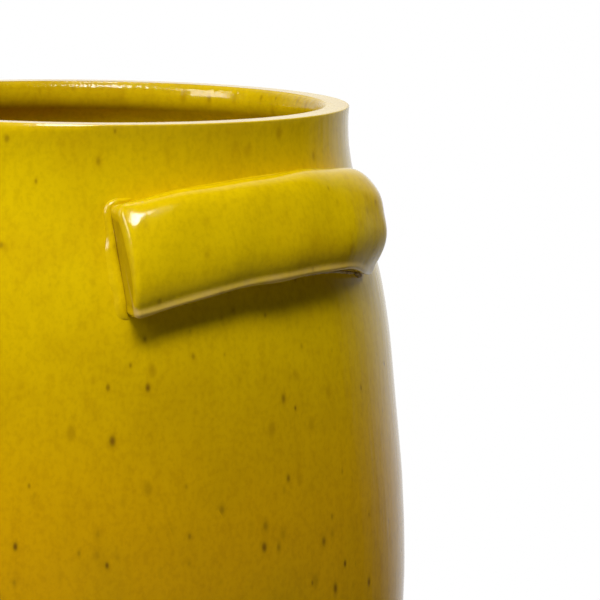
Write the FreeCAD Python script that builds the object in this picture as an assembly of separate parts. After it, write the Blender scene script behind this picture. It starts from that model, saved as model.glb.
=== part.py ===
import FreeCAD, Part
import math
import os

# Glazed stoneware flower pot with two lug handles, in millimetres.
# The foot ring stands on z = 0, Z is the pot's axis, and the handles are on +X and -X.

# Thrown body
pot_height = 210.0
belly_radius = 87.4
belly_height = 84.0
rim_radius = 70.0
rim_wall = 7.8
rim_round = 1.6
mouth_depth = 14.0
wall_thickness = 7.5
floor_thickness = 8.0
floor_radius = 57.0
floor_round = 14.0

# Trimmed foot
foot_radius = 68.0
foot_ring_width = 9.0
foot_recess = 2.5
foot_recess_slope = 1.5
foot_bevel_width = 3.0
foot_bevel_height = 4.0

# Lug handles, angles in degrees
handle_drop = 27.4
handle_height = 27.6
handle_length = 79.0
handle_depth = 10.4
brow_radius = 6.5
nose_radius = 22.0
chin_radius = 7.0
ledge_fall = 10.0
underside_rise = 14.0
handle_droop = 20.0
handle_lean = 3.3
handle_end_bevel = 12.0
handle_end_round = 1.6

# Slip joints
slip_thickness = 0.8
slip_margin = 1.0
seat_clearance = 0.1
coil_radius = 1.3
coil_gap = 0.5

# Outlines as shares: (way down from rim to belly, way out from rim to belly)
upper_outer_shares = (
    (0.11, 0.033), (0.22, 0.225), (0.33, 0.47), (0.46, 0.665), (0.60, 0.785), (0.76, 0.91),
)
# (way down from the end of the straight mouth to the belly, way out to the inside of the belly)
upper_inner_shares = ((0.12, 0.21), (0.25, 0.47), (0.40, 0.67), (0.55, 0.79), (0.75, 0.91))
# (way down from the belly, way in towards the foot or the floor)
lower_outer_shares = ((0.45, 0.165), (0.80, 0.58))
lower_inner_shares = ((0.55, 0.25),)

# Outermost level of a handle and reach of its end coils, in handle heights from the handle's middle
nose_level_share = -0.02
coil_reach_share = 0.44
# Sections of a coil: (way from its middle to its tip, share of its radius)
coil_shares = ((-1.0, 0.45), (-0.9, 0.85), (-0.5, 1.0), (0.0, 1.0), (0.5, 1.0), (0.9, 0.85), (1.0, 0.45))

# Sizes that follow from those above
mouth_radius = rim_radius - rim_wall
foot_top_radius = foot_radius + foot_bevel_width
floor_level = foot_recess + floor_thickness
handle_root = wall_thickness
up_axis = FreeCAD.Vector(0, 0, 1)
pot_centre = FreeCAD.Vector(0, 0, 0)


def at(radius, height):
    return FreeCAD.Vector(radius, 0, height)


def between(start, end, share):
    return start + (end - start) * share


def smooth_curve(points, **tangents):
    curve = Part.BSplineCurve()
    curve.interpolate(points, **tangents)
    return curve


def outer_curve(extra):
    # Outside of the wall from the foot's bevel to the rim, moved out by extra
    points = [at(foot_top_radius + extra, foot_bevel_height)]
    for down, inward in reversed(lower_outer_shares):
        radius = between(belly_radius, foot_top_radius, inward)
        points.append(at(radius + extra, between(belly_height, foot_bevel_height, down)))
    points.append(at(belly_radius + extra, belly_height))
    for down, out in reversed(upper_outer_shares):
        radius = between(rim_radius, belly_radius, out)
        points.append(at(radius + extra, between(pot_height, belly_height, down)))
    points.append(at(rim_radius + extra, pot_height - rim_round))
    return smooth_curve(points)


def inner_curve():
    # Inside of the wall from the straight mouth down to the rounding of the floor
    mouth_end = pot_height - mouth_depth
    inside_belly = belly_radius - wall_thickness
    points = [at(mouth_radius, mouth_end)]
    for down, out in upper_inner_shares:
        radius = between(mouth_radius, inside_belly, out)
        points.append(at(radius, between(mouth_end, belly_height, down)))
    points.append(at(inside_belly, belly_height))
    corner_radius = floor_radius + floor_round
    corner_level = floor_level + floor_round
    for down, inward in lower_inner_shares:
        radius = between(inside_belly, corner_radius, inward)
        points.append(at(radius, between(belly_height, corner_level, down)))
    points.append(at(corner_radius, corner_level))
    return smooth_curve(points, InitialTangent=-up_axis, FinalTangent=-up_axis)


def quarter_round(start, centre, end):
    # Arc from start to end about centre
    radius = (start - centre).Length
    middle = (start + end) / 2 - centre
    return Part.Arc(start, centre + middle * (radius / middle.Length), end).toShape()


def line(start, end):
    return Part.LineSegment(start, end).toShape()


def chain(points):
    return [line(start, end) for start, end in zip(points, points[1:])]


def turned_solid(edges):
    # Solid of revolution about the pot's axis, its seam a quarter turn away from the handles
    face = Part.Face(Part.Wire(edges))
    face.rotate(pot_centre, up_axis, 90)
    return face.revolve(pot_centre, up_axis, 360)


def pot_envelope(extra):
    # Everything inside the outer wall, moved out by extra
    curve = outer_curve(extra)
    low = curve.value(curve.FirstParameter)
    high = curve.value(curve.LastParameter)
    corners = [high, at(0, high.z), at(0, low.z), low]
    return turned_solid([curve.toShape()] + chain(corners))


def rim_edges():
    # Flat land with both edges rounded, then the straight mouth
    outer_low = at(rim_radius, pot_height - rim_round)
    outer_top = at(rim_radius - rim_round, pot_height)
    inner_top = at(mouth_radius + rim_round, pot_height)
    inner_low = at(mouth_radius, pot_height - rim_round)
    return [
        quarter_round(outer_low, at(rim_radius - rim_round, pot_height - rim_round), outer_top),
        line(outer_top, inner_top),
        quarter_round(inner_top, at(mouth_radius + rim_round, pot_height - rim_round), inner_low),
        line(inner_low, at(mouth_radius, pot_height - mouth_depth)),
    ]


def floor_edges():
    # Rounding of the inside corner and the flat floor
    corner = at(floor_radius + floor_round, floor_level + floor_round)
    floor_edge = at(floor_radius, floor_level)
    return [
        quarter_round(corner, at(floor_radius, floor_level + floor_round), floor_edge),
        line(floor_edge, at(0, floor_level)),
    ]


def foot_edges():
    # Recess under the floor, standing ring and bevelled outer edge
    ring_inside = foot_radius - foot_ring_width
    return chain([
        at(0, floor_level),
        at(0, foot_recess),
        at(ring_inside - foot_recess_slope, foot_recess),
        at(ring_inside, 0),
        at(foot_radius, 0),
        at(foot_top_radius, foot_bevel_height),
    ])


def pot_body():
    edges = [outer_curve(0).toShape()]
    edges += rim_edges()
    edges.append(inner_curve().toShape())
    edges += floor_edges()
    edges += foot_edges()
    return turned_solid(edges)


def slope_at(curve, point):
    # Slope in degrees of an outline at one of its points, from upright towards the pot's axis
    along = curve.tangent(curve.parameter(point))[0]
    return math.degrees(math.atan2(-along.x, along.z))


def wall_place():
    # Point of the wall behind the handle's middle, and the wall's slope there
    curve = outer_curve(0)
    level = line(at(0, pot_height - handle_drop), at(2 * belly_radius, pot_height - handle_drop))
    point = curve.toShape().distToShape(level)[1][0][0]
    return point, slope_at(curve, point)


def wall_normal(curve, point):
    # Outward direction at a point of the wall that the outline makes
    radius = math.hypot(point.x, point.y)
    slope = math.radians(slope_at(curve, at(radius, point.z)))
    reach = math.cos(slope) / radius
    return FreeCAD.Vector(point.x * reach, point.y * reach, math.sin(slope))


class Strap:
    # Local frame of a handle: its bending axis is local Z, and the wall is one bend radius out on X
    def __init__(self):
        self.wall_point, self.wall_slope = wall_place()
        droop = math.radians(handle_droop)
        self.bend_radius = self.wall_point.x / math.cos(droop)
        self.half_angle = self.turn(handle_length / 2)
        centre_height = self.wall_point.z - self.bend_radius * math.sin(droop)
        tip_back = FreeCAD.Rotation(FreeCAD.Vector(0, 1, 0), -handle_droop)
        self.place = FreeCAD.Placement(at(0, centre_height), tip_back)

    def turn(self, length):
        # Angle in degrees that a length along the wall takes up
        return math.degrees(length / self.bend_radius)

    def point(self, out, up):
        # Place in the strap's section, out from the wall and up along it
        tip = math.radians(self.wall_slope - handle_droop)
        x = self.bend_radius + out * math.cos(tip) - up * math.sin(tip)
        return at(x, out * math.sin(tip) + up * math.cos(tip))

    def bent(self, edges, half_angle):
        # Section bent round the pot by half_angle to each side
        face = Part.Face(Part.Wire(edges))
        face.rotate(pot_centre, up_axis, -half_angle)
        return face.revolve(pot_centre, up_axis, 2 * half_angle)

    def wall_spot(self, wall, turn, up):
        # Point of a wall at one turn about the bending axis and one height along the strap
        ray = line(self.point(-handle_root, up), self.point(handle_depth, up))
        ray.rotate(pot_centre, up_axis, turn)
        return self.seated(ray).distToShape(wall)[1][0][1]

    def seated(self, shape):
        # From the strap's frame to the pot's, with the handle's lean about the wall's normal
        seated = shape.copy()
        seated.Placement = self.place.multiply(seated.Placement)
        slope = math.radians(self.wall_slope)
        seated.rotate(self.wall_point, at(math.cos(slope), math.sin(slope)), handle_lean)
        return seated


def round_centre(radius, level, nose_centre):
    # Centre, at this level, of a rounding that the large nose arc runs into smoothly
    rise = level - nose_centre[1]
    return (nose_centre[0] + math.sqrt((nose_radius - radius) ** 2 - rise ** 2), level)


def on_circle(centre, radius, direction):
    # Place on a circle of the section, in the given direction (out, up) from its centre
    size = math.hypot(*direction)
    return (centre[0] + radius * direction[0] / size, centre[1] + radius * direction[1] / size)


def handle_section(strap):
    # Ledge, brow, nose, chin and underside, each tangent to the next
    nose_centre = (handle_depth - nose_radius, nose_level_share * handle_height)
    brow_centre = round_centre(brow_radius, handle_height / 2 - brow_radius, nose_centre)
    chin_centre = round_centre(chin_radius, chin_radius - handle_height / 2, nose_centre)
    to_brow = (brow_centre[0] - nose_centre[0], brow_centre[1] - nose_centre[1])
    to_chin = (chin_centre[0] - nose_centre[0], chin_centre[1] - nose_centre[1])
    fall = math.radians(ledge_fall)
    rise = math.radians(underside_rise)
    ledge = on_circle(brow_centre, brow_radius, (math.sin(fall), math.cos(fall)))
    lip = on_circle(chin_centre, chin_radius, (-math.sin(rise), -math.cos(rise)))
    brow_end = on_circle(nose_centre, nose_radius, to_brow)
    chin_start = on_circle(nose_centre, nose_radius, to_chin)
    back_top = (-handle_root, ledge[1] + (ledge[0] + handle_root) * math.tan(fall))
    back_low = (-handle_root, lip[1] + (lip[0] + handle_root) * math.tan(rise))
    brow_middle = on_circle(brow_centre, brow_radius, (to_brow[0], to_brow[1] + nose_radius))
    chin_middle = on_circle(chin_centre, chin_radius, (to_chin[0], to_chin[1] - nose_radius))
    nose = (handle_depth, nose_centre[1])
    return [
        line(strap.point(*back_top), strap.point(*ledge)),
        Part.Arc(strap.point(*ledge), strap.point(*brow_middle), strap.point(*brow_end)).toShape(),
        Part.Arc(strap.point(*brow_end), strap.point(*nose), strap.point(*chin_start)).toShape(),
        Part.Arc(strap.point(*chin_start), strap.point(*chin_middle), strap.point(*lip)).toShape(),
        line(strap.point(*lip), strap.point(*back_low)),
        line(strap.point(*back_low), strap.point(*back_top)),
    ]


def end_cutter(strap, side):
    # Block beyond one end of the strap, turned so that the outer face is cut shorter
    reach = 2 * (handle_depth + handle_root)
    block = Part.makeBox(reach, reach, 2 * handle_height, FreeCAD.Vector(-reach / 2, 0, -handle_height))
    if side < 0:
        block.translate(FreeCAD.Vector(0, -reach, 0))
    block.rotate(pot_centre, up_axis, -side * handle_end_bevel)
    block.translate(at(strap.bend_radius, 0))
    block.rotate(pot_centre, up_axis, side * strap.half_angle)
    return block


def end_edges(lug):
    # Outermost edge of each cut end, the only flat faces; a rounding runs on from it to the wall
    def reach(edge):
        middle = edge.valueAt((edge.FirstParameter + edge.LastParameter) / 2)
        return math.hypot(middle.x, middle.y)

    ends = [face for face in lug.Faces if isinstance(face.Surface, Part.Plane)]
    return [max(face.Edges, key=reach) for face in ends]


def handle_lug(strap):
    # Strap with bevelled ends whose edges are rounded, still reaching into the wall
    lug = strap.bent(handle_section(strap), strap.half_angle + strap.turn(handle_root))
    for side in (-1, 1):
        lug = lug.cut(end_cutter(strap, side))
    return strap.seated(lug.makeFillet(handle_end_round, end_edges(lug)))


def slip_block(strap):
    # Patch of the wall that the slip covers, as a block through the wall
    high = handle_height / 2 + slip_margin
    low = -handle_height / 2
    corners = [
        strap.point(-handle_root, high),
        strap.point(handle_depth, high),
        strap.point(handle_depth, low),
        strap.point(-handle_root, low),
    ]
    edges = chain(corners + corners[:1])
    return strap.seated(strap.bent(edges, strap.half_angle + strap.turn(coil_gap + 2 * coil_radius)))


def end_coil(strap, side):
    # Half-round coil laid up the slip along one end of the handle, thinner at its tips
    turn = side * (strap.half_angle + strap.turn(coil_gap + coil_radius))
    reach = coil_reach_share * handle_height
    curve = outer_curve(slip_thickness + seat_clearance)
    wall = curve.toShape().revolve(pot_centre, up_axis, 180)
    wall.rotate(pot_centre, up_axis, -90)
    spots = [strap.wall_spot(wall, turn, share * reach) for share, _ in coil_shares]
    along = spots[-1] - spots[0]
    sections = []
    for spot, (_, size_share) in zip(spots, coil_shares):
        out = wall_normal(curve, spot) * (size_share * coil_radius)
        across = out.cross(along) / along.Length
        arc = Part.Arc(spot - across, spot + out, spot + across).toShape()
        sections.append(Part.Wire([arc, line(spot + across, spot - across)]))
    return Part.makeLoft(sections, True)


def handle_pieces():
    # Handle, slip and end coils of the +X side
    strap = Strap()
    handle = handle_lug(strap).cut(pot_envelope(slip_thickness + seat_clearance))
    slip = slip_block(strap).common(pot_envelope(slip_thickness)).cut(pot_envelope(seat_clearance))
    coils = [end_coil(strap, side) for side in (-1, 1)]
    return handle, slip, coils


def half_turn(shape):
    turned = shape.copy()
    turned.rotate(pot_centre, up_axis, 180)
    return turned


def main():
    os.makedirs("parts", exist_ok=True)
    handle, slip, (front_coil, rear_coil) = handle_pieces()
    nodes = {
        "pot_body": pot_body(),
        "right_handle": handle,
        "right_handle_slip": slip,
        "right_front_coil": front_coil,
        "right_rear_coil": rear_coil,
        "left_handle": half_turn(handle),
        "left_handle_slip": half_turn(slip),
        "left_front_coil": half_turn(rear_coil),
        "left_rear_coil": half_turn(front_coil),
    }
    for name, shape in nodes.items():
        print(name, "solids", len(shape.Solids), "valid", shape.isValid(), "volume", round(shape.Volume))
        shape.exportStep(f"parts/{name}.step")


main()
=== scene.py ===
import bmesh
import bpy
import numpy as np
from math import atan2, cos, degrees, hypot, pi, radians, sin, tan, tau
from mathutils import Matrix, Vector
from mathutils.bvhtree import BVHTree


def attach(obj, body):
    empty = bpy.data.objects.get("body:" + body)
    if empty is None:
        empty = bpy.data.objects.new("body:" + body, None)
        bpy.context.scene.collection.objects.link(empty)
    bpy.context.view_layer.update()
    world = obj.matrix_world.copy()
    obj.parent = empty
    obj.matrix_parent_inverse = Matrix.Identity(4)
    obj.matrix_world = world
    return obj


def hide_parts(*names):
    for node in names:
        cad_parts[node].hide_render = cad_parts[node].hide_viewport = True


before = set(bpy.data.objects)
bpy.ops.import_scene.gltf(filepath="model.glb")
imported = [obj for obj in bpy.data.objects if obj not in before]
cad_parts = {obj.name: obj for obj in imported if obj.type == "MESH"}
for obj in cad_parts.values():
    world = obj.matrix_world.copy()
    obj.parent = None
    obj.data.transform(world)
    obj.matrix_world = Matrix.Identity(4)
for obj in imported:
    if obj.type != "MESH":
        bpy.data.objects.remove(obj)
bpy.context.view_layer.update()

# Glazed stoneware flower pot with two lug handles, in metres, Z up, handles on +X and -X
scene = bpy.context.scene
scene.view_settings.view_transform = "Standard"
up = Vector((0, 0, 1))


# Node boards: one class for sockets in sums, one for the nodes themselves

def sums(operation, turned=False):
    # one arithmetic method of the class below
    def method(self, other):
        first, second = (other, self) if turned else (self, other)
        return self.board.node("ShaderNodeMath", {"operation": operation}, {0: first, 1: second})

    return method


class Wire:
    def __init__(self, board, out):
        self.board = board
        self.out = out

    __add__, __radd__ = sums("ADD"), sums("ADD", True)
    __sub__, __rsub__ = sums("SUBTRACT"), sums("SUBTRACT", True)
    __mul__, __rmul__ = sums("MULTIPLY"), sums("MULTIPLY", True)
    __truediv__, __pow__, most = sums("DIVIDE"), sums("POWER"), sums("MAXIMUM")

    def rise(self, low, high):  # 0 below low, 1 above high, smooth between
        settings = {"interpolation_type": "SMOOTHSTEP"}
        values = {"Value": self, "From Min": low, "From Max": high}
        return self.board.node("ShaderNodeMapRange", settings, values)

    def other(self, name):  # another output of the same node
        return Wire(self.board, self.out.node.outputs[name])


class Board:
    def __init__(self, tree):
        self.tree = tree
        tree.nodes.clear()

    def node(self, kind, settings=None, values=None, out=0):
        made = self.tree.nodes.new(kind)
        for name, value in (settings or {}).items():
            if name == "stops":
                self.setStops(made.color_ramp.elements, value)
            else:
                setattr(made, name, value)
        inputs = [socket for socket in made.inputs if socket.enabled]
        for key, value in (values or {}).items():
            socket = inputs[key] if isinstance(key, int) else next(s for s in inputs if s.name == key)
            if isinstance(value, Wire):
                self.tree.links.new(value.out, socket)
            else:
                socket.default_value = value
        outputs = [socket for socket in made.outputs if socket.enabled]
        if not outputs:
            return made
        return Wire(self, outputs[out] if isinstance(out, int) else next(s for s in outputs if s.name == out))

    def setStops(self, elements, stops):
        while len(elements) < len(stops):
            elements.new(1.0)
        for element, (place, level) in zip(elements, stops):
            element.position = place
            element.color = grey(level)

    def blend(self, first, second, share):
        return self.node("ShaderNodeMix", {"data_type": "RGBA"}, {"Factor": share, "A": first, "B": second})

    def vector(self, operation, first, second=None):
        values = {0: first} if second is None else {0: first, 1: second}
        return self.node("ShaderNodeVectorMath", {"operation": operation}, values)

    def noise(self, place, scale, detail=2.0, roughness=0.5):
        values = {"Vector": place, "Scale": scale, "Detail": detail, "Roughness": roughness}
        return self.node("ShaderNodeTexNoise", None, values)


def rgba(colour):
    return (*colour, 1.0)


def grey(level):
    return (level, level, level, 1.0)


def newObject(name, data):
    piece = bpy.data.objects.new(name, data)
    scene.collection.objects.link(piece)
    return piece


# Camera at the photograph's place: left of the handle and a little above the rim
cameraSpot = dict(azimuth=53.1, distance=0.746, height=0.2687, yaw=4.43, pitch=8.54, roll=1.0, lens=168.6)


def placeCamera(spot):
    turn, yaw, pitch, roll = (radians(spot[key]) for key in ("azimuth", "yaw", "pitch", "roll"))
    sideways = Vector((cos(turn), sin(turn), 0))
    away = Vector((-sin(turn), cos(turn), 0))
    ahead = cos(pitch) * (sin(yaw) * sideways + cos(yaw) * away) - sin(pitch) * up
    right = cos(yaw) * sideways - sin(yaw) * away
    top = right.cross(ahead)
    right, top = cos(roll) * right + sin(roll) * top, cos(roll) * top - sin(roll) * right
    data = bpy.data.cameras.new("photoCamera")
    data.lens = spot["lens"]
    data.sensor_width = 36.0
    data.clip_start = 0.01
    place = Matrix((right, top, -ahead)).transposed().to_4x4()
    place.translation = -away * spot["distance"] + up * spot["height"]
    scene.camera = newObject("photoCamera", data)
    scene.camera.matrix_world = place


placeCamera(cameraSpot)
print("camera placed")


# Glaze and clay

def newMaterial(name):
    material = bpy.data.materials.new(name)
    material.use_nodes = True
    return material, Board(material.node_tree)


def firedSurface(board, colour, rough, relief):
    normal = board.node("ShaderNodeBump", None, {"Strength": 1.0, "Distance": 1.0, "Height": relief})
    values = {"Base Color": colour, "Roughness": rough, "IOR": 1.5, "Normal": normal}
    shader = board.node("ShaderNodeBsdfPrincipled", None, values)
    board.node("ShaderNodeOutputMaterial", None, {"Surface": shader})


glazeLook = dict(
    neck=(0.690, 0.477, 0.0006),       # upper wall and handles
    belly=(0.652, 0.350, 0.0006),      # lower wall, a little more ochre
    cloud=(0.545, 0.320, 0.0005),      # slow darker clouds
    mottleTint=(0.84, 0.80, 0.8),      # fine mottling, as a share of the colour under it
    thin=(0.62, 0.42, 0.11),           # over sharp edges, clay showing through
    pool=(0.21, 0.105, 0.003),         # iron brown in the joints, and painted shade inside the mouth and on the handles' end faces
    speck=(0.145, 0.058, 0.002),
    halo=(0.38, 0.205, 0.001),         # brown ring and faint sunk specks
    bare=(0.47, 0.335, 0.215),         # unglazed foot
    dusty=0.72,                        # its darker grains, as a share of it
    neckLevels=(0.10, 0.18),           # belly colour below, neck colour above
    sparseLevels=(0.14, 0.165),        # specks grow fainter above
    rollLevels=(0.2073, 0.2087),       # rough upper edge of the roll inside the rim
    # sizes of the patterns, the higher the finer
    cloudScale=30.0, fineScale=260.0, runScale=480.0, mottleScale=760.0,
    speckScale=255.0, deepScale=120.0, peelScale=330.0, grainScale=900.0,
    # heights of the relief
    peelHeight=0.000018, runHeight=0.00008, cloudHeight=0.00012, pitDepth=0.00003,
    poolHeight=0.00016, rollHeight=0.00055, grainHeight=0.00012,
)


def makeGlaze(look):
    material, board = newMaterial("mustardGlaze")
    place = board.node("ShaderNodeTexCoord", out="Object")
    height = board.node("ShaderNodeSeparateXYZ", None, {0: place}, "Z")

    def mask(name):
        return board.node("ShaderNodeAttribute", {"attribute_name": name}, out="Fac")

    def stretched(share):
        return board.vector("MULTIPLY", place, (1.0, 1.0, share))

    def cellsOf(share, scale):
        return board.node("ShaderNodeTexVoronoi", None, {"Vector": stretched(share), "Scale": scale})

    def chanceOf(cells, channel):
        return board.node("ShaderNodeSeparateColor", None, {0: cells.other("Color")}, channel)

    clouds = board.noise(place, look["cloudScale"], 3.0, 0.55)
    fine = board.noise(stretched(0.6), look["fineScale"], 2.0, 0.6)
    runs = board.noise(stretched(0.10), look["runScale"], 2.0, 0.5)
    mottle = board.noise(stretched(0.8), look["mottleScale"], 2.0, 0.6)
    colour = board.blend(rgba(look["belly"]), rgba(look["neck"]), height.rise(*look["neckLevels"]))
    colour = board.blend(colour, rgba(look["cloud"]), clouds.rise(0.44, 0.78) * 0.55)
    darker = board.vector("MULTIPLY", colour, look["mottleTint"])
    patches = fine.rise(0.42, 0.80) * 0.38 + runs.rise(0.45, 0.8) * 0.22 + mottle.rise(0.38, 0.72) * 0.55
    colour = board.blend(colour, darker, patches)

    # iron specks, a little taller than wide, with a soft brown ring; a second, fainter set lies deeper
    cells = cellsOf(0.58, look["speckScale"])
    chance, second = chanceOf(cells, "Red"), chanceOf(cells, "Green")
    distance = (cells + (fine - 0.5) * 0.05) / (0.13 + chance * chance * 0.17)
    sparse = 1.0 - height.rise(*look["sparseLevels"]) * 0.55
    core = (1.0 - distance.rise(0.10, 1.0)) * second.rise(0.32, 0.80) * sparse
    ring = (1.0 - distance.rise(0.4, 1.7)) * (second ** 2.0 * 0.7) * sparse
    deep = cellsOf(0.6, look["deepScale"])
    blotch = 1.0 - (deep + (fine - 0.5) * 0.12).rise(0.05, 0.20)
    blotch = blotch * chanceOf(deep, "Blue").rise(0.30, 0.8)
    colour = board.blend(colour, rgba(look["halo"]), blotch * 0.55)
    colour = board.blend(colour, rgba(look["halo"]), ring)
    colour = board.blend(colour, rgba(look["speck"]), core * 0.9)

    # thin over edges, brown in the joints and as painted shade in the mouth and on the end faces, bare on the
    # foot
    thin = mask("thin") * (0.45 + fine * 0.9)
    pool = (mask("pool") * (0.55 + clouds * 0.9)).rise(0.12, 0.95)
    bare = mask("bare")
    colour = board.blend(colour, rgba(look["thin"]), thin.rise(0.05, 1.0))
    colour = board.blend(colour, rgba(look["pool"]), pool)
    grain = board.noise(place, look["grainScale"], 3.0, 0.65)
    dusty = [level * look["dusty"] for level in look["bare"]]
    clayColour = board.blend(rgba(look["bare"]), rgba(dusty), grain.rise(0.35, 0.75))
    colour = board.blend(colour, clayColour, bare)
    rough = 0.10 + clouds * 0.05 + fine * 0.03 + thin * 0.12 + core * 0.12
    rough = rough * (1.0 - bare) + bare * 0.82

    # orange peel, vertical runs, sunk specks, a rough roll and gritty clay
    peel = board.noise(stretched(0.7), look["peelScale"], 1.0, 0.5)
    relief = peel * look["peelHeight"] + runs * look["runHeight"] + clouds * look["cloudHeight"]
    relief = relief - core * look["pitDepth"] + peel * mask("pool") * look["poolHeight"]
    relief = relief + mottle * mask("pool") * height.rise(*look["rollLevels"]) * look["rollHeight"]
    relief = relief * (1.0 - bare) + grain * bare * look["grainHeight"]
    firedSurface(board, colour, rough, relief)
    return material


slipLook = dict(
    clay=(0.62, 0.46, 0.20), stain=(0.30, 0.18, 0.04),
    grainScale=1500.0, patchScale=330.0, grainHeight=0.00016,
)


def makeSlip(look):
    material, board = newMaterial("slipClay")
    place = board.node("ShaderNodeTexCoord", out="Object")
    grain = board.noise(place, look["grainScale"], 4.0, 0.65)
    patches = board.noise(place, look["patchScale"], 2.0, 0.5)
    stains = (grain * 0.5 + patches * 0.5).rise(0.40, 0.66)
    colour = board.blend(rgba(look["clay"]), rgba(look["stain"]), stains)
    firedSurface(board, colour, 0.45 + patches * 0.3, grain * look["grainHeight"])
    return material


mustardGlaze = makeGlaze(glazeLook)
slipClay = makeSlip(slipLook)
print("glaze and slip mixed")


# Helpers for lines

def headed(turn, rise):
    return cos(turn) * cos(rise), sin(turn) * cos(rise), sin(rise)


def travelled(line):
    # length of the line up to each of its points
    return np.concatenate([[0], np.cumsum(np.linalg.norm(np.diff(line, axis=0), axis=1))])


def splineThrough(points, startWay=None, endWay=None, spacing=0.0003):
    # smooth line through points, given back as many close points
    points = np.array(points, float)
    knots = travelled(points)
    count = len(points)

    def endSlope(some):
        steps = knots[some] - knots[some[0]]
        fits = [np.polyfit(steps, points[some, axis], len(some) - 1) for axis in (0, 1)]
        return [np.polyval(np.polyder(fit), 0) for fit in fits]

    reach = min(4, count)
    first = endSlope(list(range(reach))) if startWay is None else startWay
    last = endSlope([count - 1 - i for i in range(reach)]) if endWay is None else endWay
    gaps = np.diff(knots)
    system = np.eye(count)
    target = np.zeros((count, 2))
    target[0], target[-1] = first, last
    for i in range(1, count - 1):
        before, after = 1 / gaps[i - 1], 1 / gaps[i]
        system[i, i - 1:i + 2] = before, 2 * (before + after), after
        target[i] = 3 * ((points[i] - points[i - 1]) * before ** 2 + (points[i + 1] - points[i]) * after ** 2)
    slopes = np.linalg.solve(system, target)
    places = np.linspace(0, knots[-1], int(knots[-1] / spacing) + 2)
    spans = np.clip(np.searchsorted(knots, places, "right") - 1, 0, count - 2)
    gap = gaps[spans][:, None]
    t = ((places - knots[spans]) / gaps[spans])[:, None]
    return ((2 * t ** 3 - 3 * t ** 2 + 1) * points[spans] + (t ** 3 - 2 * t ** 2 + t) * gap * slopes[spans]
            + (3 * t ** 2 - 2 * t ** 3) * points[spans + 1] + (t ** 3 - t ** 2) * gap * slopes[spans + 1])


def evenly(line, count):
    line = np.array(line, float)
    along = travelled(line)
    places = np.linspace(0, along[-1], count)
    return np.stack([np.interp(places, along, line[:, axis]) for axis in range(line.shape[1])], 1)


def arc(centre, radius, start, end, count):
    angles = np.radians(np.linspace(start, end, count))
    return np.stack([centre[0] + radius * np.cos(angles), centre[1] + radius * np.sin(angles)], 1)


def ease(value, low, high):
    t = np.clip((np.asarray(value, float) - low) / (high - low), 0, 1)
    return t * t * (3 - 2 * t)


def softAbove(value, soft):
    # the value where it is above 0, else 0, with a soft bend between
    return soft * np.logaddexp(0, value / soft)


# Helpers for meshes

def settled(piece, name):
    # the modifiers' result as a plain mesh of its own
    graph = bpy.context.evaluated_depsgraph_get()
    mesh = bpy.data.meshes.new_from_object(piece.evaluated_get(graph))
    mesh.name = name
    bpy.data.objects.remove(piece)
    return mesh


def placesOf(mesh):
    flat = np.empty(len(mesh.vertices) * 3, np.float32)
    mesh.vertices.foreach_get("co", flat)
    return flat.reshape(-1, 3).astype(float)


def setPlaces(mesh, places):
    mesh.vertices.foreach_set("co", places.astype(np.float32).ravel())
    mesh.update()


def setMask(mesh, name, values):
    layer = mesh.attributes.get(name) or mesh.attributes.new(name, "FLOAT", "POINT")
    layer.data.foreach_set("value", np.asarray(values, np.float32))


def pathObject(name, points, maskName, values):
    # points joined in a row, with one value at each
    line = bpy.data.meshes.new(name)
    line.from_pydata([tuple(p) for p in points], [(i, i + 1) for i in range(len(points) - 1)], [])
    setMask(line, maskName, values)
    return newObject(name, line)


def outward(mesh):
    # weld seams and poles, turn all faces out, shade smooth
    work = bmesh.new()
    work.from_mesh(mesh)
    bmesh.ops.remove_doubles(work, verts=work.verts, dist=1e-6)
    bmesh.ops.recalc_face_normals(work, faces=work.faces)
    for face in work.faces:
        face.smooth = True
    work.to_mesh(mesh)
    work.free()


def newTree(name, inputs):
    tree = bpy.data.node_groups.new(name, "GeometryNodeTree")
    for label, kind in inputs.items():
        tree.interface.new_socket(label, in_out="INPUT", socket_type="NodeSocket" + kind)
    tree.interface.new_socket("Mesh", in_out="OUTPUT", socket_type="NodeSocketGeometry")
    return tree, Board(tree)


def closeTree(board, mesh, material):
    mesh = board.node("GeometryNodeSetShadeSmooth", None, {"Geometry": mesh})
    mesh = board.node("GeometryNodeRealizeInstances", None, {0: mesh})
    mesh = board.node("GeometryNodeSetMaterial", None, {"Geometry": mesh, "Material": material})
    board.node("NodeGroupOutput", None, {0: mesh})


def useTree(piece, tree, values):
    modifier = piece.modifiers.new(tree.name, "NODES")
    modifier.node_group = tree
    for item in tree.interface.items_tree:
        if item.in_out == "INPUT" and item.name in values:
            modifier[item.identifier] = values[item.name]


def finishPiece(piece, node):
    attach(piece, "root")
    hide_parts(node)


# Thrown body

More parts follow.
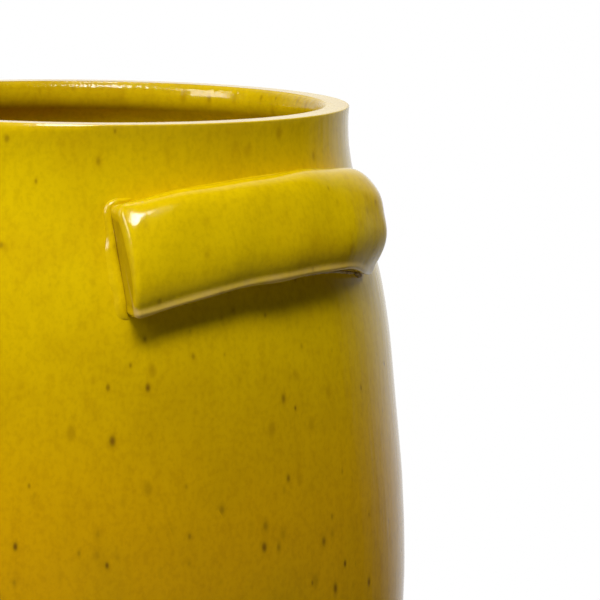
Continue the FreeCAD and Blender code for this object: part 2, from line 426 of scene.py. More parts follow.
potShape = dict(
    height=0.210, bellyRadius=0.0874, bellyHeight=0.084, wall=0.0075,
    rimRadius=0.070, rimWall=0.0078, rimRound=0.0004, rimZone=0.2, edgeZone=0.066,
    # roll inside the rim, turning under into the throat
    beadRadius=0.0058, beadLevel=0.2058, beadTop=44.0, undercut=33.0, landSoft=0.0002,
    throatLevel=0.1985, throatFlare=0.0009, throatWay=(0.15, -0.99), mouthDepth=0.014,
    floorLevel=0.0105, floorRadius=0.057, floorRound=0.014,
    # foot ring, bevel above it and the rings left by trimming under it
    footRadius=0.068, footRing=0.009, footRecess=0.0025, footTop=0.071, bevelHeight=0.004, footZone=0.010,
    footIn=0.0005, footOut=0.0008, footLand=0.003, footMargin=0.004, footStand=0.0006,
    trimDepth=0.00012, trimTurns=2100.0,
    # shares of the way down and out from rim to belly, or down and in from belly to foot
    upperOut=((0.11, 0.033), (0.22, 0.225), (0.33, 0.47), (0.46, 0.665), (0.60, 0.785), (0.76, 0.91)),
    upperIn=((0.12, 0.21), (0.25, 0.47), (0.40, 0.67), (0.55, 0.79), (0.75, 0.91)),
    lowerOut=((0.80, 0.58), (0.45, 0.165)), lowerIn=((0.55, 0.25),),
    # throwing rings and sway
    around=288, ringPitch=0.0085, ringDepth=0.00016, sway=0.00035, seed=3.7,
    # the glaze's low edge, its waves as (height, count, turn) and the roll of glaze above it
    glazeLine=0.0052, glazeStep=0.0003, lineSoft=0.0004, rollRise=0.0009, rollWide=0.0007,
    lineWaves=((0.0007, 3, 1), (0.0004, 8, 2), (0.0002, 19, 0)),
    # the rim's lowest side, and the stretch of its outer edge that was wiped flat
    lowSide=-37.0, rimFall=0.0008, fallLevels=(0.185, 0.2085),
    wipeSide=-57.0, wipeReach=14.0, wipeRise=31.0, wipeDepth=0.0007, wipeSoft=0.00005,
)


def byShares(start, end, shares):
    # points at shares of the way down and out between two (radius, height) places
    return [(start[0] + (end[0] - start[0]) * out, start[1] + (end[1] - start[1]) * down)
            for down, out in shares]


def outerLine(shape):
    foot = (shape["footTop"], shape["bevelHeight"])
    belly = (shape["bellyRadius"], shape["bellyHeight"])
    rim = (shape["rimRadius"], shape["height"])
    points = [foot, *byShares(belly, foot, shape["lowerOut"]), belly]
    points += byShares(rim, belly, reversed(shape["upperOut"]))
    points.append((rim[0], rim[1] - shape["rimRound"]))
    return splineThrough(points)


def throatRadius(shape):
    # where the straight undercut below the rim's roll ends
    lean, bead = radians(shape["undercut"]), shape["beadRadius"]
    fall = shape["beadLevel"] - bead * sin(lean) - shape["throatLevel"]
    return shape["rimRadius"] - shape["rimWall"] + bead * (1 - cos(lean)) + fall * tan(lean)


def innerLine(shape):
    mouth = (throatRadius(shape) + shape["throatFlare"], shape["height"] - shape["mouthDepth"])
    belly = (shape["bellyRadius"] - shape["wall"], shape["bellyHeight"])
    corner = (shape["floorRadius"] + shape["floorRound"], shape["floorLevel"] + shape["floorRound"])
    points = [mouth, *byShares(mouth, belly, shape["upperIn"]), belly]
    points += [*byShares(belly, corner, shape["lowerIn"]), corner]
    return splineThrough(points, shape["throatWay"], (0, -1))


wallLine = outerLine(potShape)


def footLines(shape):
    # (radius, height) under the foot from its middle out, and round the foot ring
    recess, radius, land = shape["footRecess"], shape["footRadius"], shape["footLand"]
    inRound, outRound = shape["footIn"], shape["footOut"]
    ringIn = radius - shape["footRing"]
    under = evenly([(0, recess), (ringIn - 4.2 * inRound, recess)], 26)
    trims = np.sin(under[:, 0] * shape["trimTurns"]) * ease(under[:, 0], 0.004, 0.02)
    under[:, 1] += shape["trimDepth"] * trims
    foot = np.concatenate([
        [(ringIn - 3 * inRound, recess - 0.6 * inRound)],
        arc((ringIn + 0.8 * inRound, inRound), inRound, 205, 270, 6),
        [(ringIn + land, 0), (radius - land, 0)],
        arc((radius - outRound, outRound), outRound, 270, 323, 7),
    ])
    return under, evenly(foot, 24)


def rimLines(shape):
    # flat land, then a roll inside that turns under into the throat
    rim, rounding, top = shape["rimRadius"], shape["rimRound"], shape["height"]
    bead, soft = shape["beadRadius"], shape["landSoft"]
    beadSpot = (rim - shape["rimWall"] + bead, shape["beadLevel"])
    roll = arc(beadSpot, bead, 180 - shape["beadTop"], 180 + shape["undercut"], 26)
    edge = roll[0, 0]
    lip = np.concatenate([
        arc((rim - rounding, top - rounding), rounding, 0, 90, 14),
        evenly([(rim - rounding, top), (edge + soft, top)], 12)[1:],
        [(edge + 0.45 * soft, top - 0.25 * soft)],
        roll,
    ])
    lean, inner = radians(shape["undercut"]), throatRadius(shape)
    mouth = (inner + shape["throatFlare"], top - shape["mouthDepth"])
    throat = splineThrough([roll[-1], (inner, shape["throatLevel"]), mouth],
                           (sin(lean), -cos(lean)), shape["throatWay"])
    return lip, evenly(throat, 16)[1:]


def potProfile(shape):
    # (radius, height) from under the foot round to the floor inside, and shares of the throwing rings
    under, foot = footLines(shape)
    isLow = wallLine[:, 1] < shape["footZone"]
    lip, throat = rimLines(shape)
    level, radius, rounding = shape["floorLevel"], shape["floorRadius"], shape["floorRound"]
    corner = arc((radius, level + rounding), rounding, 0, -90, 12)
    bottom = evenly([(radius - rounding / 7, level), (0, level)], 16)
    runs = [
        (under, 0.0), (foot, 0.0), (evenly(wallLine[isLow], 22), 0.0), (evenly(wallLine[~isLow], 118), 1.0),
        (lip, 1.0), (throat, 1.0), (evenly(innerLine(shape), 60)[1:-1], 1.0), (corner, 0.6), (bottom, 0.6),
    ]
    points = np.concatenate([run for run, _ in runs])
    rings = np.concatenate([np.full(len(run), share) for run, share in runs])
    spread = np.ones(7) / 7
    return points, np.convolve(np.pad(rings, 3, "edge"), spread, "valid")


def latheTree():
    # turns the profile's points about Z, with throwing rings and a little sway
    tree, board = newTree("turnedBody", {
        "Profile": "Geometry", "Around": "Int", "Ring Pitch": "Float", "Ring Depth": "Float",
        "Sway": "Float", "Seed": "Float", "Glaze": "Material"})
    given = board.node("NodeGroupInput")
    count = board.node("GeometryNodeAttributeDomainSize", {"component": "MESH"}, {0: given})
    grid = board.node("GeometryNodeMeshGrid", None, {
        "Size X": 1.0, "Size Y": 1.0, "Vertices X": count, "Vertices Y": given.other("Around") + 1.0})
    place = board.node("GeometryNodeInputPosition")
    spot = board.node("ShaderNodeSeparateXYZ", None, {0: place})
    row = board.node("ShaderNodeMath", {"operation": "FLOOR"}, {0: (spot + 0.5) * (count - 1.0) + 0.5})
    angle = (spot.other("Y") + 0.5) * tau

    def sample(kind, value):
        return board.node("GeometryNodeSampleIndex", {"data_type": kind, "domain": "POINT"},
                          {"Geometry": given, "Value": value, "Index": row})

    profile = board.node("ShaderNodeSeparateXYZ", None, {0: sample("FLOAT_VECTOR", place)})
    ringShare = board.node("GeometryNodeInputNamedAttribute", {"data_type": "FLOAT"}, {"Name": "rings"})
    share = sample("FLOAT", ringShare)
    radius, height = profile, profile.other("Z")
    east = board.node("ShaderNodeMath", {"operation": "COSINE"}, {0: angle})
    north = board.node("ShaderNodeMath", {"operation": "SINE"}, {0: angle})

    def around(tightness, pitch):
        climb = height / pitch + given.other("Seed")
        return board.node("ShaderNodeCombineXYZ", None, {0: east * tightness, 1: north * tightness, 2: climb})

    rings = board.noise(around(0.35, given.other("Ring Pitch")), 1.0, 1.0, 0.4) - 0.5
    sway = board.noise(around(0.8, 0.07), 1.0, 1.0, 0.4)
    depth = given.other("Ring Depth") * (1.0 + rings * -2.0) * 0.5 + given.other("Sway") * sway
    turned = radius - share * depth
    moved = board.node("ShaderNodeCombineXYZ", None, {0: turned * east, 1: turned * north, 2: height})
    body = board.node("GeometryNodeSetPosition", None, {"Geometry": grid, "Position": moved})
    body = board.node("GeometryNodeMergeByDistance", None, {"Geometry": body, "Distance": 1e-6})
    closeTree(board, body, given.other("Glaze"))
    return tree


def makeBody(shape):
    points, rings = potProfile(shape)
    piece = pathObject("potProfile", [(r, 0, z) for r, z in points], "rings", rings)
    useTree(piece, latheTree(), {
        "Around": shape["around"], "Ring Pitch": shape["ringPitch"], "Ring Depth": shape["ringDepth"],
        "Sway": shape["sway"], "Seed": shape["seed"], "Glaze": mustardGlaze})
    mesh = settled(piece, "potBody")
    outward(mesh)
    places = placesOf(mesh)
    radius = np.hypot(places[:, 0], places[:, 1])
    angle = np.arctan2(places[:, 1], places[:, 0])
    height = places[:, 2]  # stays tied to places
    top, rim, mouth = shape["height"], shape["rimRadius"], shape["rimRadius"] - shape["rimWall"]
    # glaze ends in a low wavy step above the foot
    waves = (size * np.sin(count * angle + turn) for size, count, turn in shape["lineWaves"])
    line = sum(waves, shape["glazeLine"])
    outside = radius > shape["footRadius"] - shape["footRing"] - shape["footMargin"]
    bare = 1 - ease(height, line - shape["lineSoft"], line + shape["lineSoft"])
    under = (height < shape["footRecess"] + shape["footOut"]) & ~outside
    bare = np.maximum(np.where(outside, bare, 0), under)
    inset = shape["glazeStep"] * bare * (height > shape["footStand"]) * outside
    places[:, :2] *= (1 - inset / np.maximum(radius, 1e-4))[:, None]
    glazeRoll = np.exp(-((height - line - shape["rollRise"]) / shape["rollWide"]) ** 2) * outside
    # the rim's outer edge wiped a little flat on one side, measured as if it were round
    atRim = height > shape["rimZone"]
    column = np.rint(angle / tau * shape["around"]).astype(int) % shape["around"]
    rimAt = np.zeros(shape["around"])
    np.maximum.at(rimAt, column, np.where(atRim, radius, 0))
    trueRadius = radius + rim - rimAt[column]
    wipe = radians(shape["wipeRise"])
    aside = (np.degrees(angle) - shape["wipeSide"] + 180) % 360 - 180
    depth = shape["wipeDepth"] * np.exp(-(aside / shape["wipeReach"]) ** 2)
    past = (trueRadius - rim) * cos(wipe) + (height - top) * sin(wipe)
    past += shape["rimRound"] * (cos(wipe) + sin(wipe) - 1) + depth
    over = softAbove(past, shape["wipeSoft"]) * ease(depth, 0.00002, 0.0001)
    over *= atRim & (radius > shape["edgeZone"])
    places[:, :2] *= (1 - over * cos(wipe) / np.maximum(radius, 1e-4))[:, None]
    places[:, 2] -= over * sin(wipe)
    front = 0.5 + 0.5 * np.cos(angle - radians(shape["lowSide"]))
    places[:, 2] -= shape["rimFall"] * front * ease(height, *shape["fallLevels"])
    setPlaces(mesh, places)
    # glaze breaks brown on the rim's two edges; the inside of the mouth is darkened with the same brown as
    # painted shade
    inner = mouth + shape["beadRadius"] * (1 - cos(radians(shape["beadTop"])))
    innerEdge = np.hypot(trueRadius - inner, height - top)
    outerEdge = np.hypot(trueRadius - rim + 0.0001, height - top + shape["rimRound"])
    innerBreak, outerBreak = (1 - ease(edge, 0.0001, 0.0006) for edge in (innerEdge, outerEdge))
    nearEdge = 1 - ease(np.minimum(innerEdge, outerEdge), 0.0004, 0.0020)
    # painted shade: the inner wall below the rim is tinted darker brown
    inside = (1 - ease(trueRadius, inner - 0.0004, inner + 0.0002)) * ease(height, 0.17, 0.19)
    browned = 0.55 * glazeRoll + 0.42 * innerBreak + 0.22 * outerBreak
    setMask(mesh, "thin", 0.25 * nearEdge * atRim)
    setMask(mesh, "pool", np.maximum(browned, 0.36 * inside))
    setMask(mesh, "bare", bare)
    body = newObject("potBody", mesh)
    finishPiece(body, "pot_body")
    print("pot body turned:", len(points), "profile points,", len(mesh.polygons), "faces")
    return body


bodyMesh = makeBody(potShape).data
wallTree = BVHTree.FromPolygons([v.co for v in bodyMesh.vertices], [p.vertices for p in bodyMesh.polygons])


# Lug handles

handleShape = dict(
    drop=0.0274, height=0.0276, length=0.079, droop=20.0, lean=3.3, ledgeFall=2.0, undersideRise=12.0,
    # (out, up) down the face from the ledge to the lip, in millimetres
    face=((3.0, 13.2), (6.2, 12.5), (8.5, 10.2), (9.7, 6.4), (10.2, 1.8), (10.3, -3.0),
          (10.0, -6.8), (9.2, -9.9), (8.1, -12.0), (7.4, -13.1), (7.3, -13.8)),
    lipRound=0.0010, crease=0.0005, underCrease=0.0005, rootDepth=0.0007, creaseSteps=10,
    # roundings of both ends, the most and the least, and where on the section they grow
    endBevel=10.0, endRound=(0.0026, 0.0013), rearRound=(0.0046, 0.0018), wallRound=0.0014, wallZone=0.005,
    browZone=(-0.010, 0.009), rearZone=(-0.015, 0.005), lowZone=(-0.008, 0.004), middle=(0.0042, -0.0004),
    # the last end is longer, full under the brow, with its foot drawn in to the wall
    rearReach=0.0026, rearLong=2.2, lowLong=0.3, cornerRise=1.2, cornerZone=0.0125,
    tuck=0.76, tuckAlong=(0.45, 1.02), tuckFrom=0.001, tuckTall=0.0145, tuckPower=2.15,
    heel=0.0014, heelAlong=(0.55, 0.95), heelSpot=0.0043, heelTall=0.0048,
    # the first end is cut aslant, with a soft brow and a thumb's flat on its corner
    skew=0.0024, skewAlong=(0.35, 1.0), frontSoft=0.0003, softAlong=(0.45, 1.0), softZone=0.0115,
    pressSpot=(-0.0387, 0.0075), pressReach=(0.006, 0.009), pressTurn=-50.0, pressRise=35.0,
    pressDepth=0.0004, pressSoft=0.00006, pressBend=(0.028, 0.051, 0.035), pressTwist=-18.5,
    pressShift=(0.0001, -0.0002),
    # the lip arches up between its ends, and hand pressure leaves slow waves
    lipLift=0.0014, lipAlong=(-0.98, -0.25), lipDip=0.8, dipAlong=(0.50, 1.0), handWobble=0.00022,
)


class Strap:
    # the handle's own frame: along the wall, out from it and up it
    def __init__(self, shape, turn):
        level = potShape["height"] - shape["drop"]
        i = int(np.argmin(abs(wallLine[:, 1] - level)))
        way = wallLine[i + 3] - wallLine[i - 3]
        radius = float(np.interp(level, wallLine[:, 1], wallLine[:, 0]))
        self.slope = atan2(-way[0], way[1])
        self.droop = radians(shape["droop"])
        self.bend = radius / cos(self.droop)
        self.base = level - self.bend * sin(self.droop)
        pivot = Vector((radius, 0, level))
        axis = Vector((cos(self.slope), 0, sin(self.slope)))
        lean = Matrix.Rotation(radians(shape["lean"]), 4, axis)
        turned = Matrix.Rotation(turn, 4, "Z") @ Matrix.Translation(pivot)
        self.place = np.array(turned @ lean @ Matrix.Translation(-pivot))

    def points(self, along, out, high):
        tip = self.slope - self.droop
        x = self.bend + out * cos(tip) - high * sin(tip)
        z = out * sin(tip) + high * cos(tip)
        angle = along / self.bend
        x, y = x * np.cos(angle), x * np.sin(angle)
        level, steep = cos(self.droop), sin(self.droop)
        x, z = x * level - z * steep, x * steep + z * level
        local = np.stack([x, y, z + self.base], -1)
        return local @ self.place[:3, :3].T + self.place[:3, 3]

    def onWall(self, along, high):
        # nearest points of the body's surface, and its normals there
        spots = self.points(along, np.zeros_like(along), high).reshape(-1, 3)
        found = [wallTree.find_nearest(Vector(spot)) for spot in spots]
        return np.array([f[0] for f in found]), np.array([f[1] for f in found])

    def seated(self, along, out, high, fade):
        # like points, but measured from the real wall near the wall
        free = self.points(along, out, high)
        spots = self.points(along, np.zeros_like(along), high)
        wall, normal = self.onWall(along, high)
        gap = ((spots.reshape(-1, 3) - wall) * normal).sum(1)
        share = 1 - ease(out.ravel(), 0.0, fade)
        return (free.reshape(-1, 3) - normal * (gap * share)[:, None]).reshape(free.shape)


def handleSection(shape):
    # (out, up) round the lug from the wall above to the wall below, and each point's way from the lip
    fall, rise = radians(shape["ledgeFall"]), radians(shape["undersideRise"])
    tip, crease, lower, root = (shape[key] for key in ("lipRound", "crease", "underCrease", "rootDepth"))
    face = splineThrough(np.array(shape["face"]) / 1000, (cos(fall), -sin(fall)), spacing=0.00005)
    face = evenly(face, 74)
    way = (face[-1] - face[-2]) / np.linalg.norm(face[-1] - face[-2])
    lipSpot = face[-1] + tip * np.array((way[1], -way[0]))
    lip = arc(lipSpot, tip, degrees(atan2(way[0], -way[1])), -90 - shape["undersideRise"], 9)
    ledgeWall = face[0, 1] + face[0, 0] * tan(fall)
    topSpot = (crease, ledgeWall - crease * tan(fall) + crease / cos(fall))
    topArc = arc(topSpot, crease, 178, 270 - shape["ledgeFall"], shape["creaseSteps"])
    top = np.concatenate([[(-root, topSpot[1] + 1.2 * crease)], topArc])
    underWall = lip[-1, 1] + lip[-1, 0] * tan(rise)
    lowSpot = (lower, underWall - lower * tan(rise) - lower / cos(rise))
    lowArc = arc(lowSpot, lower, 90 + shape["undersideRise"], 180, 6)
    bottom = np.concatenate([lowArc, [(-root, lowSpot[1] - 0.8 * lower)]])
    ledge = evenly([top[-1], face[0]], 7)[1:-1]
    under = evenly([lip[-1], bottom[0]], 8)[1:-1]
    section = np.concatenate([top, ledge, face, lip[1:], under, bottom])
    travel = travelled(section)
    return section, travel - travel[len(top) + len(ledge) + len(face) + 3]


def endSkew(shape, t, high):
    # the first end is cut a little aslant, its foot further along than its top
    return -shape["skew"] * ease(-t, *shape["skewAlong"]) * np.clip(0.5 - high / shape["height"], 0, 1)


def lipRise(shape, t):
    # the lip arches up between its ends and dips at the last
    dip = 1 - shape["lipDip"] * ease(t, *shape["dipAlong"])
    return shape["lipLift"] * ease(t, *shape["lipAlong"]) * dip


def pressFlat(shape, turn, along, high, places):
    # a thumb's flat on the first upper corner, bent a little both ways
    facing, rise = radians(shape["pressTurn"]), radians(shape["pressRise"])
    flatWay = np.array(Matrix.Rotation(turn, 3, "Z")) @ np.array(headed(facing, rise))
    spotAlong, spotHigh = shape["pressSpot"]
    near = 1 - ease(np.hypot(along - spotAlong, high - spotHigh), *shape["pressReach"])
    spot = places.reshape(-1, 3)[np.argmax(np.where(near > 0.5, places @ flatWay, -1))]
    sideways = np.array((-flatWay[1], flatWay[0], 0)) / hypot(flatWay[0], flatWay[1])
    ways = (sideways, np.cross(flatWay, sideways))
    across, steep = ((places - spot) @ way - shift for way, shift in zip(ways, shape["pressShift"]))
    twist = radians(shape["pressTwist"])
    first = across * cos(twist) + steep * sin(twist)
    second = steep * cos(twist) - across * sin(twist)
    endBend, faceBend, upBend = shape["pressBend"]
    reach = (places - spot) @ flatWay + first ** 2 / (2 * np.where(first < 0, endBend, faceBend))
    reach += second ** 2 / (2 * upBend)
    over = softAbove(reach + shape["pressDepth"], shape["pressSoft"])
    return places - (over * near)[..., None] * flatWay


def makeHandle(name, shape, turn, seed):
    strap = Strap(shape, turn)
    section, fromLip = handleSection(shape)
    reach, level = section.T
    way = np.gradient(section, axis=0)
    way /= np.linalg.norm(way, axis=1)[:, None]
    inward = np.stack([way[:, 1], -way[:, 0]], 1)
    half = shape["length"] / 2
    # ends rounded most at the brow, least at the lip and by the wall
    offWall = ease(reach, 0.0, shape["wallZone"])
    browShare, rearShare = (ease(level, *shape[key]) * offWall for key in ("browZone", "rearZone"))
    lowShare = 1 - ease(level, *shape["lowZone"])
    (frontFull, frontLeast), (rearFull, rearLeast) = shape["endRound"], shape["rearRound"]
    frontRound = frontLeast + (frontFull - frontLeast) * browShare
    rearRound = shape["wallRound"] + (rearLeast - shape["wallRound"]) * np.maximum(offWall, lowShare)
    rearRound = rearRound + (rearFull - rearLeast) * rearShare
    longShare = np.maximum(rearShare, shape["lowLong"] * lowShare)
    rearLong = rearRound * (1 + (shape["rearLong"] - 1) * longShare)
    shrink = np.stack([-offWall, shape["cornerRise"] * ease(-level, 0.0, shape["cornerZone"])], 1)
    drawn = inward + (shrink - inward) * lowShare[:, None]
    rearEnd = half + shape["rearReach"]

    def endRows(end, long, rounding):
        turns = np.radians(np.linspace(0, 90, 15))[1:]
        rows = [(end - long * (1 - sin(a)), rounding * (1 - cos(a)), 0.0) for a in turns]
        return rows + [(end + 0 * long, rounding, share) for share in np.linspace(0, 1, 8)[1:]]

    frontRows = [(-s, inset, share) for s, inset, share in reversed(endRows(half, frontRound, frontRound))]
    first, last = frontRound - half, rearEnd - rearLong
    mainRows = [(first + (last - first) * u, 0 * first, 0.0) for u in np.linspace(0, 1, 130)]
    rows = frontRows + mainRows + endRows(rearEnd, rearLong, rearRound)
    phases = np.random.default_rng(seed).uniform(0, tau, 2)
    middle = np.array(shape["middle"])
    tuckShare = np.clip((-level - shape["tuckFrom"]) / shape["tuckTall"], 0, 1) ** shape["tuckPower"]
    heelShare = np.exp(-((level - shape["heelSpot"]) / shape["heelTall"]) ** 2)
    softShare = ease(level, 0.0, shape["softZone"])
    wobbleShare = ease(reach, 0.001, 0.004)
    lowering = 1 - ease(level, -shape["height"] * 0.5, shape["height"] * 0.12)
    lipBand = 1 - ease(abs(fromLip + 0.0004), 0.0007, 0.0024)
    along, out, high, thin, pool = [], [], [], [], []
    for s, inset, share in rows:
        t = s / half
        place = section + (inward if s[0] < 0 else drawn) * inset[:, None]
        place[:, 0] *= 1 - shape["tuck"] * ease(t, *shape["tuckAlong"]) * tuckShare
        place[:, 0] += shape["heel"] * ease(t, *shape["heelAlong"]) * heelShare
        place[:, 0] -= shape["frontSoft"] * ease(-t, *shape["softAlong"]) * softShare
        # hand pressure along the strap, and the lip arched up between its ends
        press = np.sin(2.1 * t * pi + phases[0] + level * 120)
        press += 0.6 * np.sin(4.3 * t * pi + phases[1] - level * 190)
        place += inward * (shape["handWobble"] * press * wobbleShare)[:, None]
        place[:, 1] += lipRise(shape, t) * lowering
        place += (middle - place) * share
        bevel = np.maximum(place[:, 0], 0) * tan(radians(shape["endBevel"]))
        along.append(s - np.sign(s) * bevel * abs(t) + endSkew(shape, t, place[:, 1]))
        out.append(place[:, 0])
        high.append(place[:, 1])
        # glaze thin on lip and corners, brown by the wall, and the end faces darkened brown as painted shade
        rounding = np.where(s < 0, frontRound, rearRound)
        corner = ease(inset, 0, rounding * 0.5) * (1 - ease(share, 0, 0.2))
        thin.append(np.clip(lipBand * (0.62 + 0.6 * corner) + 0.16 * corner, 0, 1))
        nearWall = 1 - ease(place[:, 0], 0.0002, 0.0014)
        atEnd = ease(abs(t), 0.985, 1.0)
        paintedEndShade = 0.48 * atEnd * ease(share, 0, 0.15)
        pool.append(np.clip(nearWall * (0.12 + 0.75 * atEnd) + paintedEndShade, 0, 1))
    along, out, high = np.array(along), np.array(out), np.array(high)
    places = strap.seated(along, out, high, shape["wallZone"])
    places = pressFlat(shape, turn, along, high, places)
    count, wide = along.shape
    faces = [(r * wide + c, r * wide + (c + 1) % wide, (r + 1) * wide + (c + 1) % wide, (r + 1) * wide + c)
             for r in range(count - 1) for c in range(wide)]
    mesh = bpy.data.meshes.new(name)
    mesh.from_pydata(places.reshape(-1, 3).tolist(), [], faces)
    setMask(mesh, "thin", np.array(thin).ravel())
    setMask(mesh, "pool", np.array(pool).ravel())
    outward(mesh)
    mesh.materials.append(mustardGlaze)
    handle = newObject(name, mesh)
    print(name, "pressed on:", len(mesh.polygons), "faces")
    return handle, strap


# Beads of slip and reinforcing coils, run along paths on the wall

def beadTree():
    tree, board = newTree("laidBead", {
        "Path": "Geometry", "Radius": "Float", "Lumps": "Float", "Lump Scale": "Float",
        "Seed": "Float", "Finish": "Material"})
    given = board.node("NodeGroupInput")
    radius = given.other("Radius")
    path = board.node("GeometryNodeMeshToCurve", None, {0: given})
    path = board.node("GeometryNodeResampleCurve", None, {"Curve": path, "Count": 90})
    share = board.node("GeometryNodeSplineParameter")
    ends = (share - 0.5) * 2.0
    width = board.node("GeometryNodeInputNamedAttribute", {"data_type": "FLOAT"}, {"Name": "width"})
    taper = (1.0 - (ends * ends) ** 5.0).most(0.0) ** 0.5 * width
    place = board.node("GeometryNodeInputPosition")
    drift = board.node("ShaderNodeCombineXYZ", None, {2: given.other("Seed")})
    lumps = board.noise(board.vector("ADD", place, drift), given.other("Lump Scale"), 2.0, 0.6) - 0.5
    lumps = lumps * given.other("Lumps")
    values = {"Resolution": 32, "Radius": radius}
    ring = board.node("GeometryNodeCurvePrimitiveCircle", {"mode": "RADIUS"}, values)
    bead = board.node("GeometryNodeCurveToMesh", None, {
        "Curve": path, "Profile Curve": ring, "Scale": taper * (1.0 + lumps), "Fill Caps": True})
    out = board.vector("SCALE", board.node("GeometryNodeInputNormal"), lumps * radius * 0.5)
    bead = board.node("GeometryNodeSetPosition", None, {"Geometry": bead, "Offset": out})
    closeTree(board, bead, given.other("Finish"))
    return tree


laidBead = beadTree()


def runBead(name, path, widths, finish, seed, radius, lumps, lumpScale):
    piece = pathObject(name + "Path", path, "width", widths)
    values = {"Radius": radius, "Lumps": lumps, "Lump Scale": lumpScale, "Seed": seed, "Finish": finish}
    useTree(piece, laidBead, values)
    mesh = settled(piece, name)
    outward(mesh)
    return mesh


coilShape = dict(
    gap=-0.0006, radius=0.0013, sink=0.0004, spread=1.45, flare=0.0005, lumps=0.25, lumpScale=200.0,
    # feet at the handle's first and last end, and the turn over the ledge at the first
    firstFoot=-0.0147, lastFoot=-0.0106, footIn=0.0006, footTall=0.0019, lastPoints=34,
    turnSize=0.0022, wrap=0.0065, wrapRise=0.0001,
)


def coilPath(shape, side, weave):
    # (along, up) beside the handle's end, from its foot up and, at the first end, round over the ledge
    half = handleShape["length"] / 2
    edge = half + shape["gap"] + shape["radius"] * 0.75 + (handleShape["rearReach"] if side > 0 else 0)
    foot = shape["firstFoot"] if side < 0 else shape["lastFoot"]
    section, _ = handleSection(handleShape)
    ledge = section[handleShape["creaseSteps"], 1] + shape["radius"] * 0.35
    turn = edge - shape["turnSize"]
    low = ledge - shape["turnSize"]
    rise = evenly([(edge - shape["footIn"], foot), (edge, foot + shape["footTall"]), (edge, low)], 40)
    bend = arc((turn, low), shape["turnSize"], 0, 90, 10)[1:]
    over = evenly([(turn, ledge), (turn - shape["wrap"], ledge + shape["wrapRise"])], 14)[1:]
    path = evenly(np.concatenate([rise, bend, over]) if side < 0 else rise[:shape["lastPoints"]], 80)
    path[:, 0] += 0.00016 * np.sin(path[:, 1] * 420 + weave[0]) + 0.0001 * np.sin(path[:, 1] * 900 + weave[1])
    along = side * path[:, 0]
    return along + endSkew(handleShape, along / half, path[:, 1]), path[:, 1]


def makeCoil(name, strap, shape, side, seed):
    along, high = coilPath(shape, side, np.random.default_rng(seed).uniform(0, tau, 2))
    radius, sink = shape["radius"], shape["sink"]
    share = np.linspace(0, 1, len(along))
    widths = (0.75 + 0.25 * ease(share, 0.0, 0.12)) * (1 - 0.75 * ease(share, 0.76, 1.0))
    wall, normal = strap.onWall(along, high)
    mesh = runBead(name, wall - normal * sink, widths, mustardGlaze, seed,
                   radius, shape["lumps"], shape["lumpScale"])
    # smeared out on the side away from the handle
    places = placesOf(mesh)
    ends = side * (handleShape["length"] / 2 + np.array((-0.004, 0.004)))
    inside, outside = strap.points(ends, np.zeros(2), np.zeros(2))
    across = (inside - outside) / np.linalg.norm(inside - outside)
    near = np.array([np.argmin(((wall - p) ** 2).sum(1)) for p in places])
    offset, share = places - wall[near], share[near]
    tilt = (offset @ across) / radius
    lift = np.clip((offset * normal[near]).sum(1) / (radius - sink), -0.3, 1)
    wider = np.minimum(tilt, 0) * radius * (shape["spread"] - 1)
    wider -= shape["flare"] * (1 - lift) ** 3 * ease(-tilt, 0, 0.5)
    wider *= 1 - ease(share, 0.40, 0.70)
    setPlaces(mesh, places + wider[:, None] * across)
    # brown glaze in the groove between the coil and the handle's end
    foot = 1 - ease(share, 0.0, 0.05)
    groove = ease(tilt, 0.35, 1.0) * (0.7 + 0.3 * foot) * (share < 0.72)
    setMask(mesh, "pool", np.clip(groove, 0, 1))
    setMask(mesh, "thin", 0.12 * ease(-tilt, 0.0, 0.8) * (1 - foot))
    return newObject(name, mesh)


slipShape = dict(
    radius=0.00042, sink=0.0001, lumps=1.2, lumpScale=520.0, endGap=0.0020, shift=-0.0014,
    # the crumb's start along the handle, its length, rise above the slip, fall and lift off the wall
    crumbStart=0.0335, crumbLong=0.0035, crumbRise=0.0002, crumbFall=0.0012, crumbLift=0.0002,
    crumbRadius=0.00055, crumbLumps=2.2, crumbScale=900.0,
)


def makeSlipLine(name, strap, shape, seed):
    # slip squeezed out under the handle, with a crumb left at its last corner
    steps = np.linspace(-1, 1, 80)
    along = steps * (handleShape["length"] / 2 - shape["endGap"]) + shape["shift"]
    section, _ = handleSection(handleShape)
    level = section[-3, 1]  # in the crease under the handle
    along = along + endSkew(handleShape, steps, level)
    wall, normal = strap.onWall(along, level + lipRise(handleShape, steps))
    mesh = runBead(name, wall - normal * shape["sink"], np.ones(80), slipClay, seed,
                   shape["radius"], shape["lumps"], shape["lumpScale"])
    spots = np.linspace(0, 1, 12)
    high = level + shape["crumbRise"] - shape["crumbFall"] * spots ** 2
    wall, normal = strap.onWall(shape["crumbStart"] + shape["crumbLong"] * spots, high)
    widths = 0.35 + 0.75 * np.sin(spots * 11 + seed) ** 2
    crumb = runBead(name + "Crumb", wall + normal * shape["crumbLift"], widths, slipClay, seed + 4,
                    shape["crumbRadius"], shape["crumbLumps"], shape["crumbScale"])
    work = bmesh.new()
    work.from_mesh(mesh)
    work.from_mesh(crumb)
    work.to_mesh(mesh)
    work.free()
    bpy.data.meshes.remove(crumb)
    return newObject(name, mesh)


def makeSide(label, turn, seed, ends):
    handle, strap = makeHandle(label + "Handle", handleShape, turn, seed)
    finishPiece(handle, label + "_handle")
    slip = makeSlipLine(label + "HandleSlip", strap, slipShape, seed + 0.5)
    finishPiece(slip, label + "_handle_slip")
    for side, end in ends:
        coil = makeCoil(label + end + "Coil", strap, coilShape, side, seed + 2 + side)
        finishPiece(coil, f"{label}_{end.lower()}_coil")
    print(label, "side joined")


makeSide("right", 0.0, 11, ((-1, "Front"), (1, "Rear")))
makeSide("left", pi, 23, ((1, "Front"), (-1, "Rear")))


# Table top, studio light and backdrop

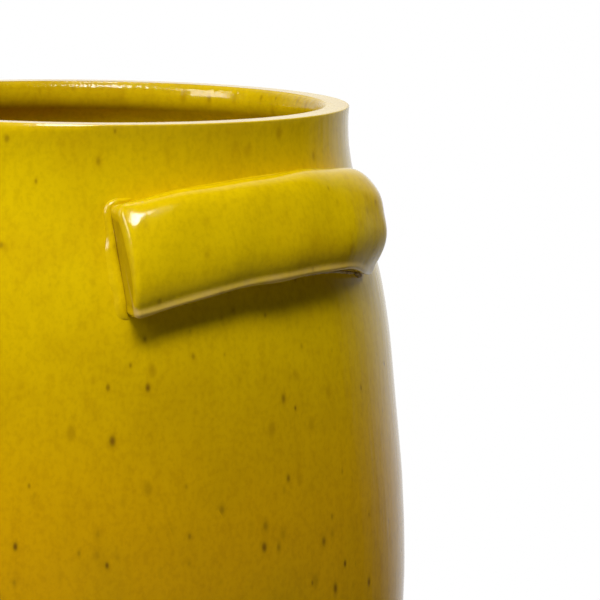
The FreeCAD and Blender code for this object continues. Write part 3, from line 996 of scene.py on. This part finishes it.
roomLook = dict(
    ambient=0.024, behind=(-0.80, 0.60, 0.0), squash=0.35,
    # the backdrop in reflections: how straight behind, how bright
    stops=((0.30, 0.006), (0.5, 0.12), (0.70, 0.50), (0.87, 0.78), (0.94, 0.93), (0.985, 1.0)),
)


def backdropOf(board, way, look):
    # how straight behind the pot a direction points, and the backdrop's brightness there
    behind = board.vector("DOT_PRODUCT", board.vector("NORMALIZE", way), look["behind"])
    return behind, board.node("ShaderNodeValToRGB", {"stops": look["stops"]}, {0: behind})


stageLook = dict(
    edge=14.0, whiteFrom=0.17, whiteBy=0.30, tone=0.86, grainTone=0.98, grainScale=900.0,
    bounce=0.25, frontGloss=0.025,
)


def makeTable(look, room):
    mesh = bpy.data.meshes.new("tableTop")
    edge = look["edge"]
    corners = [(-edge, -edge, 0), (edge, -edge, 0), (edge, edge, 0), (-edge, edge, 0)]
    mesh.from_pydata(corners, [], [(0, 1, 2, 3)])
    material, board = newMaterial("tableWhite")
    place = board.node("ShaderNodeTexCoord", out="Object")
    reach = board.vector("LENGTH", place)
    path = board.node("ShaderNodeLightPath")
    glossy = path.other("Is Glossy Ray")
    behind, backdrop = backdropOf(board, place, room)
    paper = board.noise(place, look["grainScale"], 3.0, 0.6)
    tone = board.blend(grey(look["tone"]), grey(look["tone"] * look["grainTone"]), paper)
    tone = board.blend(tone, grey(look["bounce"]), path.other("Is Diffuse Ray"))
    tone = board.blend(tone, grey(look["frontGloss"]), glossy * (1.0 - behind.rise(0.1, 0.7)))
    matt = board.node("ShaderNodeBsdfDiffuse", None, {"Color": tone})
    glow = board.blend(grey(1.0), backdrop, glossy)
    white = board.node("ShaderNodeEmission", None, {"Color": glow, "Strength": 1.0})
    share = reach.rise(look["whiteFrom"], look["whiteBy"])
    seen = path.other("Is Camera Ray").most(path.other("Is Transmission Ray")).most(glossy)
    shader = board.node("ShaderNodeMixShader", None, {0: share * seen, 1: matt, 2: white})
    board.node("ShaderNodeOutputMaterial", None, {"Surface": shader})
    mesh.materials.append(material)
    table = newObject("tableTop", mesh)


def makeRoom(look):
    world = bpy.data.worlds.new("studio")
    scene.world = world
    world.use_nodes = True
    board = Board(world.node_tree)
    way = board.node("ShaderNodeTexCoord", out="Generated")
    _, backdrop = backdropOf(board, board.vector("MULTIPLY", way, (1.0, 1.0, look["squash"])), look)
    path = board.node("ShaderNodeLightPath")
    colour = board.blend(grey(look["ambient"]), backdrop, path.other("Is Glossy Ray"))
    seen = path.other("Is Camera Ray").most(path.other("Is Transmission Ray"))
    colour = board.blend(colour, grey(1.0), seen)
    shader = board.node("ShaderNodeBackground", None, {"Color": colour, "Strength": 1.0})
    board.node("ShaderNodeOutputWorld", None, {"Surface": shader})


# heading in degrees round from the camera's side towards its left, height angle, size, watts
lampSpots = dict(
    main=dict(left=13, rise=56, size=(0.46, 0.30), power=9.3, shine=True),
    fill=dict(left=-12, rise=56, size=(0.30, 0.30), power=4.3, shine=False),
    left=dict(left=70, rise=31, size=(0.42, 0.64), power=6.6, shine=True),
    rear=dict(left=-122, rise=32, size=(0.40, 0.40), power=5.2, shine=False),
)
lampAim = Vector((0, 0, 0.15))
lampDistance = 1.2


def hangLamp(name, spot):
    heading = radians(cameraSpot["azimuth"] - 90 - spot["left"])
    way = Vector(headed(heading, radians(spot["rise"])))
    data = bpy.data.lights.new(name + "Lamp", "AREA")
    data.shape = "RECTANGLE"
    data.size, data.size_y = spot["size"]
    data.energy = spot["power"]
    lamp = newObject(name + "Lamp", data)
    lamp.location = lampAim + way * lampDistance
    lamp.rotation_euler = way.to_track_quat("Z", "Y").to_euler()
    lamp.visible_camera = False
    lamp.visible_glossy = spot["shine"]


makeTable(stageLook, roomLook)
makeRoom(roomLook)
for lampName, lampSpot in lampSpots.items():
    hangLamp(lampName, lampSpot)
print("table, room and lamps set")
